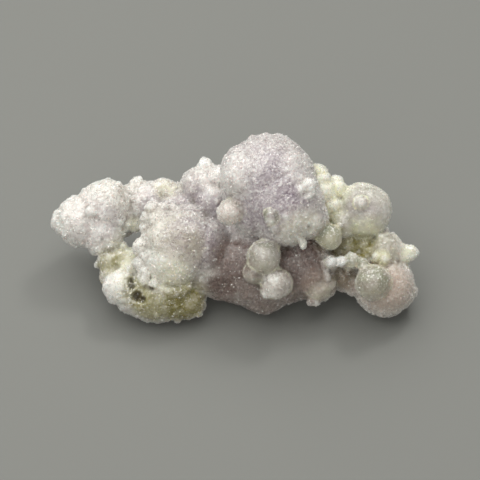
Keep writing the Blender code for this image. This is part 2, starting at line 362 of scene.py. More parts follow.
def keep_outer_shell(mesh):
    work = bmesh.new()
    work.from_mesh(mesh)
    unseen, largest = set(work.verts), set()
    while unseen:
        shell, front = set(), [unseen.pop()]
        while front:
            vertex = front.pop()
            shell.add(vertex)
            for edge in vertex.link_edges:
                other = edge.other_vert(vertex)
                if other in unseen:
                    unseen.discard(other)
                    front.append(other)
        if len(shell) > len(largest):
            largest = shell
    bmesh.ops.delete(work, geom=[v for v in work.verts if v not in largest], context="VERTS")
    work.to_mesh(mesh)
    work.free()


lumps = [
    *BODY,
    *MIDDLE_LOBE,
    *MIDDLE_LOBE_RIM,
    *LEFT_LOBE,
    *BACK_RIDGE,
    *DOME,
    *DOME_KNOBS,
    *BEADS,
    *FACE_BALLS,
    *LEFT_FOOT,
    *LEFT_BRIDGE,
    *RIGHT_SHOULDER,
    *OLIVE_HOLLOW,
    *WHITE_BEADS,
    *RIGHT_FOOT,
    *BACK,
    *column(),
]
lumps += knobs(lumps)
skin = grown_together("grown_skin", lumps, SKIN_VOXEL)
keep_outer_shell(skin)

# Colour zones of the stone, as seen on the specimen: across, up, out, reach, strength
LILAC_ZONES = (
    (4.0, 18.5, 4.0, 14.0, 0.75),
    (-7.0, 16.0, 0.0, 9.0, 0.6),
    (5.5, 18.5, 8.5, 8.5, 1.0),
    (-3.0, 17.5, 1.5, 5.0, 0.65),
    (17.2, 15.0, 4.6, 4.6, 0.55),
    (-19.4, 13.4, 3.4, 5.6, 0.75),
    (-11.0, 17.2, 0.8, 3.6, 0.8),
    (-5.8, 11.3, 6.5, 5.6, 0.95),
    (5.0, 17.0, -8.0, 12.0, 0.9),
    (-8.0, 16.0, -6.0, 7.0, 0.8),
)
CORE_ZONES = (
    (0.3, 8.9, 5.6, 5.2, 1.0),
    (-1.6, 5.0, 4.4, 3.6, 1.0),
    (-1.0, 3.2, 2.0, 3.6, 0.9),
    (-6.4, 10.3, 7.0, 4.2, 0.5),
    (3.5, 6.0, 5.0, 6.5, 0.85),
    (8.8, 8.6, 4.6, 6.2, 1.0),
    (12.0, 6.0, 3.4, 4.2, 0.6),
    (3.5, 3.2, 2.5, 4.6, 0.8),
    (8.6, 4.4, 3.0, 4.4, 0.8),
    (19.0, 5.9, 7.2, 3.8, 0.75),
    (21.4, 11.0, 4.2, 3.0, 0.5),
    (17.2, 15.4, 5.4, 4.8, 0.32),
    (15.2, 6.4, 3.0, 3.0, 0.85),
    (3.0, 12.0, -7.5, 5.0, 0.7),
    (-6.0, 12.5, -6.5, 4.0, 0.5),
)
PALE_ZONES = (
    (-20.5, 14.5, 0.0, 7.5, 0.85),
    (25.0, 10.2, 2.0, 4.6, 1.0),
    (1.4, 21.2, 8.0, 4.4, 0.3),
    (9.0, 12.6, 9.2, 4.6, 0.8),
    (-0.5, 15.6, 7.6, 2.6, 0.8),
    (-0.1, 19.4, 9.0, 3.4, 0.8),
    (8.8, 21.9, 8.6, 3.6, 0.6),
    (-2.6, 19.6, 1.8, 3.0, 0.8),
    (1.4, 14.0, 4.6, 3.2, 0.6),
    (20.6, 15.2, 3.2, 3.2, 0.7),
    (13.9, 8.8, 6.0, 2.0, 1.0),
    (12.6, 18.6, 2.6, 5.0, 1.0),
    (-8.8, 6.6, 6.4, 5.0, 0.7),
    (18.0, 15.6, 4.4, 5.4, 0.35),
    (-12.0, 18.0, 0.0, 4.0, 0.6),
    (-3.8, 22.2, -1.0, 3.0, 1.0),
    (-16.0, 5.2, 3.4, 4.4, 1.0),
    (9.6, 12.9, -9.4, 3.4, 0.9),
    (-4.6, 13.3, -9.8, 3.4, 0.9),
    (-20.0, 14.6, -4.8, 4.4, 0.8),
)
FROST_ZONES = (
    (-11.6, 12.8, 5.0, 3.6, 0.4),
    (-12.0, 8.0, 5.0, 4.0, 0.6),
    (10.0, 18.6, 9.4, 2.2, 0.9),
    (4.8, 6.0, 8.2, 2.0, 0.8),
    (1.2, 21.5, 7.5, 3.8, 0.45),
    (17.8, 18.3, 3.0, 3.4, 0.3),
    (17.4, 16.8, 6.2, 1.6, 0.7),
    (-24.0, 14.0, 0.5, 3.2, 0.8),
    (-18.0, 19.0, 1.0, 3.0, 0.6),
    (-18.0, 10.0, 1.5, 2.6, 0.8),
    (-15.8, 12.8, 0.8, 2.4, 0.9),
    (4.9, 4.0, 7.4, 2.0, 0.8),
    (21.4, 15.4, 1.6, 2.6, 0.6),
    (19.8, 17.6, 4.0, 2.6, 0.6),
    (-13.5, 19.5, -0.6, 2.2, 0.5),
    (-15.8, 5.4, 3.8, 2.8, 0.8),
    (13.5, 8.8, 5.0, 2.2, 0.6),
)
YELLOW_ZONES = (
    (11.6, 20.3, 2.5, 3.2, 0.8),
    (13.6, 18.4, 3.0, 3.4, 0.8),
    (9.0, 12.8, 9.0, 4.6, 0.35),
    (-7.6, 10.6, 6.6, 5.6, 0.25),
    (12.8, 15.6, 3.4, 3.4, 0.65),
    (-7.5, 18.5, 0.0, 1.7, 0.7),
    (-9.4, 18.9, 0.8, 2.4, 0.5),
    (-8.2, 6.2, 6.6, 4.2, 0.6),
    (-10.6, 2.6, 4.4, 4.6, 0.5),
    (-15.5, 9.3, 1.4, 4.2, 0.6),
    (-15.6, 12.6, 0.6, 2.0, 0.6),
    (-14.2, 13.8, 0.2, 2.0, 0.6),
    (-14.5, 5.2, 3.8, 3.4, 0.6),
    (-9.0, 6.0, 6.0, 4.4, 0.6),
    (-9.4, 14.4, 5.0, 4.4, 0.2),
    (20.2, 9.3, 4.0, 1.8, 0.8),
    (20.7, 10.3, 3.0, 3.6, 0.2),
    (24.4, 10.0, 2.0, 2.8, 0.7),
    (13.0, 12.2, 6.0, 2.4, 0.7),
    (17.8, 12.9, 3.4, 3.6, 0.8),
    (14.5, 14.0, -6.0, 4.5, 0.6),
    (-15.5, 12.6, -4.6, 3.5, 0.5),
)
OLIVE_ZONES = (
    (17.4, 10.8, 2.6, 3.2, 1.0),
    (14.9, 10.6, 3.4, 2.4, 0.8),
    (13.0, 12.2, 6.0, 3.2, 0.8),
    (12.2, 14.2, 4.4, 2.2, 0.5),
    (-17.2, 8.7, 1.4, 2.8, 0.8),
    (-16.9, 6.9, 1.2, 2.4, 0.6),
    (15.0, 6.6, 3.0, 2.6, 0.3),
    (19.4, 8.3, 4.8, 2.0, 0.5),
    (-7.0, 3.0, 3.8, 4.8, 1.0),
    (-11.0, 2.6, 4.0, 3.8, 0.75),
    (-15.8, 9.4, 1.8, 1.6, 0.5),
    (-12.6, 4.6, 4.6, 1.8, 0.5),
)
# Clear balls, how clear each is in its middle, and how bright the painted rim light round its base is
GLASS_BALLS = (
    (BEADS[0], 0.15, 0.7),
    (FACE_BALLS[0], 0.5, 0.9),
    (FACE_BALLS[1], 0.25, 0.9),
    (FACE_BALLS[2], 0.05, 0.9),
    (FACE_BALLS[3], 0.05, 0.8),
    (RIGHT_SHOULDER[5], 0.45, 0.6),
    (RIGHT_SHOULDER[6], 0.35, 0.6),
    (RIGHT_SHOULDER[7], 0.3, 1.0),
    (RIGHT_SHOULDER[8], 0.85, 0.8),
    (RIGHT_FOOT[1], 0.3, 0.3),
    (RIGHT_FOOT[7], 0.9, 0.6),
    (BEADS[9], 0.4, 0.3),
    (BEADS[10], 0.4, 0.3),
    (RIGHT_FOOT[9], 0.35, 0.15),
    (RIGHT_FOOT[11], 0.35, 0.15),
    ((4.98, 14.8, 10.2, 1.25), 0.7, 1.0),
    *((bead, clear, 0.9) for bead, clear in zip(WHITE_BEADS, (0.05, 0.05, 1.0, 0.9, 0.6))),
)
ROSE_ZONES = (
    (20.8, 5.4, 3.0, 5.2, 0.8),
    (20.8, 6.6, -2.6, 4.0, 0.6),
    (15.3, 5.3, 2.0, 3.2, 0.35),
    (11.4, 5.6, 4.0, 3.2, 0.5),
    (-0.6, 15.6, 8.4, 2.6, 0.5),
)
# How many of its radii the stain and the halo round a pit reach, and how strong they are
PIT_STAIN_REACH, PIT_STAIN = 1.5, 0.85
PIT_HALO_REACH, PIT_HALO = 3.6, 0.9
STAIN_ZONES = (
    *((*pit[:3], pit[3] * PIT_STAIN_REACH, PIT_STAIN) for pit in PITS),
    (-12.2, 5.35, 5.0, 0.4, 0.8),
    (-11.9, 5.3, 5.1, 0.4, 0.9),
    (-11.5, 5.2, 5.1, 0.4, 0.9),
    (-11.1, 5.1, 5.1, 0.4, 0.9),
    (-18.1, 11.8, 3.0, 0.42, 0.7),
    (9.9, 13.7, 9.0, 0.4, 0.7),
    (18.4, 9.0, 4.2, 0.8, 0.9),
    (13.7, 10.1, 4.0, 1.3, 0.75),
    (10.6, 11.6, 5.5, 1.2, 0.6),
    (14.9, 9.9, 3.4, 0.8, 0.7),
    (-15.2, 10.8, 1.4, 0.6, 0.8),
    (-16.7, 10.4, 1.8, 0.45, 0.6),
    (-15.0, 15.0, 1.6, 0.5, 0.5),
    (-7.9, 19.0, 1.2, 0.4, 0.5),
    (4.0, 2.4, 3.3, 0.4, 0.7),
    (17.7, 13.7, 5.2, 0.45, 0.6),
)
PIT_ZONES = tuple((*pit[:3], pit[3] * PIT_HALO_REACH, PIT_HALO) for pit in PITS)
# Relief of the skin, in layout millimetres: wave or cell, and height
SWELL_WAVE, SWELL_DEPTH = 2.4, 0.22
RIPPLE_WAVE, RIPPLE_DEPTH = 0.9, 0.09
NUBBIN_CELL, NUBBIN_HEIGHT = 0.85, 0.15
NUBBIN_EDGE = 0.62
NUBBIN_EVERYWHERE = 0.3
GRAIN_HEIGHT = 0.045
GRAIN_EVERYWHERE = 0.2
GRAIN_SEED = 11
# Rounds of smoothing: to find hollows, to find the grain's own cavities, and to polish the smooth parts
HOLLOW_ROUNDS = 14
CAVITY_ROUNDS = 4
POLISH_ROUNDS = 5
# Hollow and cavity depths that count as full
HOLLOW_FULL = 0.35
CAVITY_FULL = 0.07
# Open pits: depth, how far their mouths spread past their radius, and how near the skin they start
PIT_DEPTH = 1.2
PIT_SPREAD = 1.2
PIT_NEAR = 2.0
# The paled flanks, painted rim light of the translucent stone and partly frost: where the skin turns off the
# face enough to be paled, and how strongly
FLANK_START, FLANK_SPAN = 0.66, 0.32
FLANK_RIM_LIGHT = 0.6
FLANK_UPWARD_LOSS = 0.5
FLANK_SMOOTH_LOSS = 0.95
# How much darker a clear ball's middle grows from foot to top as painted shade, how bright the painted glow
# at its foot is and how soon it brightens
UPWARD_PAINTED_SHADE = 0.8
FOOT_PAINTED_GLOW = 0.55
FOOT_GAIN = 1.3
CLEAR_BALL_GAIN = 3.0
# How much of the frost and painted rim light the smooth balls lose
SMOOTH_FROST_AND_RIM_LIGHT_LOSS = 0.85
# How smooth each zone is when it is polished, when it loses its flank frost, and when it loses its grain
POLISH_SHARES = {"core": 0.6, "rose": 0.8, "olive": 0.8}
FLANK_SHARES = {"core": 1.0, "rose": 1.0, "olive": 0.8}
FLANK_GAIN = 1.6
SMOOTH_SHARES = {"core": 1.0, "rose": 0.8, "olive": 0.95, "yellow": 0.6}
SMOOTH_BALL_SHARE = 0.7
LEAST_GRAIN = 0.15
# How many nubbins pale stone has next to frosted stone, and how many the smooth balls lose
NUBBIN_PALE_SHARE = 0.7
NUBBIN_BALL_LOSS = 0.3


def layout_places(mesh):
    """Every vertex of the skin, in layout millimetres on the leaning face."""
    count = len(mesh.vertices)
    places = np.empty(count * 3)
    mesh.vertices.foreach_get("co", places)
    places = places.reshape(count, 3) / UNIT + (MIDDLE_ACROSS, MIDDLE_BACK, TABLE_HEIGHT)
    return places @ np.array(Matrix.Rotation(FACE_TILT, 3, "X"))


def eased(share):
    """A share from 0 to 1 with soft ends."""
    return share * share * (3.0 - 2.0 * share)


ZONE_FULLNESS = 1.7


def zone_weight(places, zones):
    """How strongly the zones colour each place, from 0 to 1, fading towards their edges."""
    weight = np.zeros(len(places))
    for *centre, reach, strength in zones:
        near = np.clip(ZONE_FULLNESS * (1.0 - np.linalg.norm(places - centre, axis=1) / reach), 0.0, 1.0)
        weight = np.maximum(weight, strength * eased(near))
    return weight


def relaxed(mesh, rounds):
    """Where each vertex is, and where it comes to lie when the skin is smoothed a number of times."""
    count = len(mesh.vertices)
    places = np.empty(count * 3)
    mesh.vertices.foreach_get("co", places)
    places = places.reshape(count, 3)
    ends = np.empty(len(mesh.edges) * 2, dtype=int)
    mesh.edges.foreach_get("vertices", ends)
    near = np.concatenate([ends, ends.reshape(-1, 2)[:, ::-1].ravel()]).reshape(-1, 2)
    links = np.bincount(near[:, 0], minlength=count)[:, None]
    smooth = places.copy()
    for _ in range(rounds):
        total = np.stack(
            [np.bincount(near[:, 0], smooth[near[:, 1], axis], count) for axis in range(3)], axis=1
        )
        smooth = total / links
    return places, smooth


def hollowness(mesh, rounds):
    """How far each vertex lies under (above 0) or over the smoothed skin, in layout millimetres."""
    normals = np.empty(len(mesh.vertices) * 3)
    mesh.vertices.foreach_get("normal", normals)
    places, smooth = relaxed(mesh, rounds)
    return ((smooth - places) * normals.reshape(-1, 3)).sum(axis=1) / UNIT


# A clear ball's radii: its skin, the height its base starts at, and its clear middle and the painted rim
# light round it as seen from the front, each with the width over which it fades
BALL_SKIN, BALL_BASE = 1.07, -0.1
CLEAR_EDGE, CLEAR_FADE = 0.94, 0.12
VEILED_MIDDLE, MIDDLE_VEIL = 0.6, 0.5
RIM_START, RIM_FADE = 0.86, 0.1


def glass_weight(places, balls):
    """How clear the middle of each small ball is, how bright the painted light on the edge round its base,
    and how near its foot a place lies, from -1 to 1: a painted glow stands for the light that falls through
    a clear ball and gathers at its foot."""
    clear = np.zeros(len(places))
    rim_light = np.zeros(len(places))
    foot = np.zeros(len(places))
    for ball, strength, rim_light_strength in balls:
        offset = places - np.array(ball[:3])
        far = np.linalg.norm(offset, axis=1)
        aside = np.hypot(offset[:, 0], offset[:, 1]) / ball[3]
        on_ball = (far < BALL_SKIN * ball[3]) & (offset[:, 2] > BALL_BASE * ball[3])
        ring = np.clip((CLEAR_EDGE - aside) / CLEAR_FADE, 0.0, 1.0)
        ring *= 1.0 - MIDDLE_VEIL * np.clip(1.0 - aside / VEILED_MIDDLE, 0.0, 1.0)
        edge = np.clip((aside - RIM_START) / RIM_FADE, 0.0, 1.0)
        clear = np.maximum(clear, np.where(on_ball, strength * ring, 0.0))
        foot = np.where(on_ball, -offset[:, 1] / ball[3], foot)
        rim_light = np.maximum(rim_light, np.where(on_ball, rim_light_strength * edge, 0.0))
    return clear, rim_light, foot


def strongest(shares):
    """The strongest of some zones at each place, each taken at its share."""
    return np.maximum.reduce([share * zones[name] for name, share in shares.items()])


def keep_weights(mesh, name, weights):
    mesh.attributes.new(name, "FLOAT", "POINT").data.foreach_set("value", weights.astype(np.float32))


places = layout_places(skin)
frost_and_rim_light = zone_weight(places, FROST_ZONES)
zones = {
    "lilac": zone_weight(places, LILAC_ZONES),
    "core": zone_weight(places, CORE_ZONES),
    "pale": zone_weight(places, PALE_ZONES),
    "frost_and_rim_light": frost_and_rim_light,
    "yellow": zone_weight(places, YELLOW_ZONES),
    "olive": zone_weight(places, OLIVE_ZONES),
    "rose": zone_weight(places, ROSE_ZONES),
    "stain": zone_weight(places, STAIN_ZONES),
    "halo": zone_weight(places, PIT_ZONES),
}
clear, rim_light, foot = glass_weight(places, GLASS_BALLS)
clear_ball = np.clip(CLEAR_BALL_GAIN * clear, 0.0, 1.0)
smooth_ball = np.maximum(clear_ball, rim_light)
# Painted shade darkens the upper half of each clear ball's middle, and a painted glow lightens its foot; the
# rim weight holds the painted rim light and that glow
zones["glass"] = np.clip(clear * (1.0 - UPWARD_PAINTED_SHADE * foot), 0.0, 1.0)
zones["rim_light"] = np.maximum(rim_light, FOOT_PAINTED_GLOW * np.clip(FOOT_GAIN * foot, 0.0, 1.0) * clear_ball)

# The smooth parts are polished before the relief
polish = np.maximum(smooth_ball, strongest(POLISH_SHARES))
rough_places, smooth_places = relaxed(skin, POLISH_ROUNDS)
polished = rough_places + polish[:, None] * (smooth_places - rough_places)
skin.vertices.foreach_set("co", polished.ravel())
skin.update()

# The flanks that turn off the face are paled as painted rim light, partly frost, except on the smooth parts
facing = np.empty(len(places) * 3)
skin.vertices.foreach_get("normal", facing)
facing = facing.reshape(-1, 3) @ np.array(Matrix.Rotation(FACE_TILT, 3, "X"))
turned_off = np.sqrt(np.clip(1.0 - facing[:, 2] ** 2, 0.0, 1.0))
flank_rim_light = FLANK_RIM_LIGHT * eased(np.clip((turned_off - FLANK_START) / FLANK_SPAN, 0.0, 1.0))
flank_rim_light *= 1.0 - FLANK_UPWARD_LOSS * np.clip(facing[:, 1], 0.0, 1.0)
flank_rim_light *= 1.0 - FLANK_SMOOTH_LOSS * np.clip(FLANK_GAIN * strongest(FLANK_SHARES), 0.0, 1.0)
frost_and_rim_light = np.clip(np.maximum(frost_and_rim_light, flank_rim_light), 0.0, 1.0)
frost_and_rim_light *= 1.0 - SMOOTH_FROST_AND_RIM_LIGHT_LOSS * smooth_ball
zones["frost_and_rim_light"] = frost_and_rim_light

# The relief: swells, ripples, nubbins where the skin is pale, and grains
hollow = np.clip(hollowness(skin, HOLLOW_ROUNDS) / HOLLOW_FULL, -1.0, 1.0)
dice = np.random.default_rng(GRAIN_SEED)
crest = dice.uniform(-1.0, 1.0, len(places))
smooth_stone = np.maximum(SMOOTH_BALL_SHARE * smooth_ball, strongest(SMOOTH_SHARES))
grainy = np.clip(np.maximum(frost_and_rim_light, 1.0 - smooth_stone), LEAST_GRAIN, 1.0)
grain = crest * GRAIN_HEIGHT * (GRAIN_EVERYWHERE + grainy)
nubbly = np.maximum(frost_and_rim_light, NUBBIN_PALE_SHARE * zones["pale"]) - NUBBIN_BALL_LOSS * smooth_ball
moved = []
for vertex, lift, white in zip(skin.vertices, grain, nubbly):
    point = vertex.co / UNIT
    swell = noise.noise(point / SWELL_WAVE) * SWELL_DEPTH
    ripple = noise.noise(point / RIPPLE_WAVE) * RIPPLE_DEPTH
    nearest = noise.voronoi(point / NUBBIN_CELL)[0][0]
    nubbin = NUBBIN_HEIGHT * max(0.0, 1.0 - (nearest / NUBBIN_EDGE) ** 2)
    height = swell + ripple + nubbin * max(0.0, NUBBIN_EVERYWHERE + white) + lift
    moved.append(vertex.co + vertex.normal * height * UNIT)

# The pits are sunk along the face's own depth, and nothing goes under the table
into_stone = Matrix.Rotation(FACE_TILT, 3, "X") @ Vector((0.0, 0.0, -UNIT))
depth = np.zeros(len(places))
for across, up, out, radius in PITS:
    aside = np.hypot(places[:, 0] - across, places[:, 1] - up) / (PIT_SPREAD * radius)
    mouth = np.clip(1.0 - aside * aside, 0.0, 1.0) * (np.abs(places[:, 2] - out) < PIT_NEAR)
    depth = np.maximum(depth, PIT_DEPTH * mouth)
for vertex, place, down in zip(skin.vertices, moved, depth):
    vertex.co = place + into_stone * down
    vertex.co.z = max(vertex.co.z, 0.0)
skin.update()
cavity = np.clip(hollowness(skin, CAVITY_ROUNDS) / CAVITY_FULL, -1.0, 1.0) * grainy
for name, weights in zones.items():
    keep_weights(skin, name, weights)
keep_weights(skin, "hollow", hollow)
keep_weights(skin, "crest", crest * grainy)
keep_weights(skin, "grainy", grainy)
keep_weights(skin, "cavity", cavity)
keep_weights(skin, "polish", polish)


def node_maker(tree):
    """A short way to add a node with its values and links."""

    def add(kind, links=(), **values):
        made = tree.nodes.new(kind)
        for name, value in values.items():
            setattr(made, name, value)
        for socket, source in dict(links).items():
            target = made.inputs[socket]
            if isinstance(source, bpy.types.NodeSocket):
                tree.links.new(source, target)
            else:
                target.default_value = source
        return made

    return add


def srgb(red, green, blue):
    """A colour given as it looks on a screen, from 0 to 255, in the shader's own values."""
    parts = [part / 255.0 for part in (red, green, blue)]
    return (*[p / 12.92 if p <= 0.04045 else ((p + 0.055) / 1.055) ** 2.4 for p in parts], 1.0)


LILAC_DEEP = srgb(162, 149, 160)
LILAC_PALE = srgb(188, 179, 184)
CORE_PURPLE = srgb(119, 100, 94)
GREY_BODY = srgb(208, 204, 196)
PALE_WHITE = srgb(247, 243, 240)
GLASS_GREY = srgb(144, 146, 122)
RIM_LIGHT_CREAM = srgb(238, 238, 214)
HALO_OLIVE = srgb(150, 144, 86)
FROST_WHITE = srgb(250, 249, 243)
YELLOW_GREEN = srgb(245, 245, 208)
OLIVE_BROWN = srgb(136, 128, 62)
ROSE_GREY = srgb(206, 185, 171)
STAIN_BROWN = srgb(62, 46, 10)
HOLLOW_SHADE_GREY = srgb(140, 132, 112)
CRACK_SHADE = srgb(220, 215, 214)
# Sizes in the stone's finish, in layout millimetres: clouds, mottle, veils in the clear balls, white specks
# (painted glints on the stone, inclusions in the clear balls), sugar grains and the finest grain, which
# shows as bump alone
CLOUD_SIZE = 3.2
MOTTLE_SIZE = 0.7
VEIL_SIZE = 1.5
SPECK_SIZE = 0.28
GRAIN_SIZE = 0.3
FINE_GRAIN_SIZE = 0.26
FINE_GRAIN_DEPTH = 0.12
FINE_GRAIN_BUMP = 0.35
ROUGH_LOW, ROUGH_HIGH = 0.22, 0.46
POLISHED_SHARE = 0.62
# How light goes into the stone
SUBSURFACE_REACH = 2.0
SUBSURFACE_RADIUS = (1.0, 0.9, 0.88)
TRANSMISSION = 0.4
SHEEN, SHEEN_ROUGHNESS = 0.1, 0.35
SHEEN_TINT = (1.0, 1.0, 0.97, 1.0)
STONE_IOR = 1.54

stone_finish = bpy.data.materials.new("chalcedony_stone")
stone_finish.use_nodes = True
tree = stone_finish.node_tree
shader = tree.nodes["Principled BSDF"]
add = node_maker(tree)
where = add("ShaderNodeTexCoord").outputs["Object"]


def weight_of(name):
    return add("ShaderNodeAttribute", attribute_name=name).outputs["Fac"]


def noise_of(scale_mm, detail, roughness=0.55):
    return add(
        "ShaderNodeTexNoise",
        {"Vector": where, "Scale": 1.0 / (scale_mm * UNIT), "Detail": detail, "Roughness": roughness},
    ).outputs["Fac"]


def graded(value, low, high, least=0.0, most=1.0):
    return add(
        "ShaderNodeMapRange",
        {"Value": value, "From Min": low, "From Max": high, "To Min": least, "To Max": most},
        interpolation_type="SMOOTHSTEP",
    ).outputs["Result"]


def times(first, second):
    return add("ShaderNodeMath", {0: first, 1: second}, operation="MULTIPLY").outputs[0]


def coloured(factor, first, second, way="MIX"):
    mix = add("ShaderNodeMix", {"Factor": factor}, data_type="RGBA", blend_type=way)
    for socket, source in ((mix.inputs[6], first), (mix.inputs[7], second)):
        if isinstance(source, bpy.types.NodeSocket):
            tree.links.new(source, socket)
        else:
            socket.default_value = source
    return mix.outputs[2]


def patchy(name, low, high, least):
    """A zone's weight, thinner where the mottle is low."""
    return times(weight_of(name), graded(mottle, low, high, least, 1.0))


def cells_of(scale_mm):
    cells = add("ShaderNodeTexVoronoi", {"Vector": where, "Scale": 1.0 / (scale_mm * UNIT)})
    return cells.outputs["Distance"]


cloud = noise_of(CLOUD_SIZE, 3.0)
mottle = noise_of(MOTTLE_SIZE, 3.0, 0.6)
speck = noise_of(SPECK_SIZE, 1.0)
veil = noise_of(VEIL_SIZE, 2.0)
grains = cells_of(GRAIN_SIZE)
lilac = coloured(graded(cloud, 0.35, 0.65), LILAC_DEEP, LILAC_PALE)
# What is laid over the grey body, in this order: how much, which colour, and how it is laid on
COATS = (
    (graded(patchy("lilac", 0.1, 0.5, 0.7), 0.0, 0.9), lilac, "MIX"),
    (patchy("core", 0.2, 0.5, 0.8), CORE_PURPLE, "MIX"),
    (weight_of("pale"), PALE_WHITE, "MIX"),
    (times(weight_of("rose"), 0.9), ROSE_GREY, "MIX"),
    (patchy("yellow", 0.3, 0.6, 0.45), YELLOW_GREEN, "MIX"),
    # The white coat: frost patches, and painted rim light on the flanks that turn off the face
    (patchy("frost_and_rim_light", 0.3, 0.62, 0.35), FROST_WHITE, "MIX"),
    (patchy("olive", 0.35, 0.6, 0.6), OLIVE_BROWN, "MIX"),
    # The clear balls' grey, darker on their upper halves as painted shade, and their cream edge, which is
    # painted rim light with a painted glow at each ball's foot
    (times(weight_of("glass"), graded(veil, 0.4, 0.62, 1.0, 0.5)), GLASS_GREY, "MIX"),
    (times(graded(speck, 0.54, 0.66, 0.0, 0.6), weight_of("glass")), FROST_WHITE, "MIX"),
    (patchy("rim_light", 0.3, 0.6, 0.35), RIM_LIGHT_CREAM, "MIX"),
    (patchy("halo", 0.35, 0.6, 0.5), HALO_OLIVE, "MIX"),
    # Painted shade: darker in the hollows between the lumps and in the grain's own cavities
    (graded(weight_of("hollow"), 0.1, 0.9, 0.0, 0.5), HOLLOW_SHADE_GREY, "MIX"),
    (graded(weight_of("cavity"), 0.05, 0.9, 0.0, 0.4), CRACK_SHADE, "MULTIPLY"),
    (graded(weight_of("cavity"), -0.1, -1.0, 0.0, 0.4), FROST_WHITE, "MIX"),
    (graded(weight_of("hollow"), -0.1, -0.8, 0.0, 0.35), FROST_WHITE, "MIX"),
    (graded(weight_of("crest"), 0.0, 1.0, 0.0, 0.3), FROST_WHITE, "MIX"),
    (graded(weight_of("crest"), 0.0, -1.0, 0.0, 0.25), CRACK_SHADE, "MULTIPLY"),
    (times(graded(grains, 0.4, 0.1, 0.0, 0.35), weight_of("grainy")), FROST_WHITE, "MIX"),
    (times(graded(grains, 0.42, 0.75, 0.0, 0.5), weight_of("grainy")), CRACK_SHADE, "MULTIPLY"),
    # White specks over the stone: painted glints of the druse
    (graded(speck, 0.66, 0.73, 0.0, 0.8), FROST_WHITE, "MIX"),
    (weight_of("stain"), STAIN_BROWN, "MIX"),
)
colour = GREY_BODY
for factor, coat, way in COATS:
    colour = coloured(factor, colour, coat, way)
tree.links.new(colour, shader.inputs["Base Color"])
satin = graded(weight_of("polish"), 0.0, 1.0, 1.0, POLISHED_SHARE)
gloss = times(graded(mottle, 0.3, 0.7, ROUGH_LOW, ROUGH_HIGH), satin)
tree.links.new(gloss, shader.inputs["Roughness"])
fine_grain = {
    "Height": cells_of(FINE_GRAIN_SIZE),
    "Strength": FINE_GRAIN_BUMP,
    "Distance": FINE_GRAIN_DEPTH * UNIT,
}
bump = add("ShaderNodeBump", fine_grain)
tree.links.new(bump.outputs["Normal"], shader.inputs["Normal"])
shader.inputs["Subsurface Weight"].default_value = 1.0
shader.inputs["Subsurface Radius"].default_value = SUBSURFACE_RADIUS
shader.inputs["Subsurface Scale"].default_value = SUBSURFACE_REACH * UNIT
shader.inputs["Transmission Weight"].default_value = TRANSMISSION
shader.inputs["Sheen Weight"].default_value = SHEEN
shader.inputs["Sheen Roughness"].default_value = SHEEN_ROUGHNESS
shader.inputs["Sheen Tint"].default_value = SHEEN_TINT
shader.inputs["IOR"].default_value = STONE_IOR

skin.materials.clear()
skin.materials.append(stone_finish)
skin.shade_smooth()
stone = bpy.data.objects.new("stone", skin)
bpy.context.scene.collection.objects.link(stone)
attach(stone, "root")
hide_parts("botryoidal_chalcedony")

# Druse: crystals of quartz a fifth of a millimetre high that stand on the stone's skin, thick and white on
# its crests and rims, thin and clear over its smooth lilac faces, honey-coloured where it is stained. They
# grew on the stone, so they are set into its skin, each a stubby point with four sides.
POINT_SIDES = 4
POINT_WIDTH = 0.62
POINT_SINK = 0.3
POINT_LEAN = 0.6
CRYSTAL_IOR = 1.55
# Crystals: colour and roughness
CRYSTAL_LOOKS = {
    "white": (srgb(248, 247, 243), 0.18),
    "cream": (srgb(240, 238, 212), 0.18),
    "lilac": (srgb(214, 206, 208), 0.16),
    "core": (srgb(160, 146, 141), 0.16),
    "olive": (srgb(180, 170, 122), 0.18),
    "rose": (srgb(216, 200, 192), 0.16),
}
# No crystals grow this near the table, and fewer in hollows and on the smooth balls
TABLE_CLEARANCE = 0.35
HOLLOW_LOSS = 0.6
SMOOTH_BALL_LOSS = 0.7
# White chips on the middle lobe's upper right: across, up, out, reach, strength
CHIP_ZONES = ((-5.6, 13.4, 4.6, 4.6, 1.0),)
COARSE_EVERYWHERE, COARSE_FROST = 0.2, 0.6
FINE_PALE_SHARE = 0.7


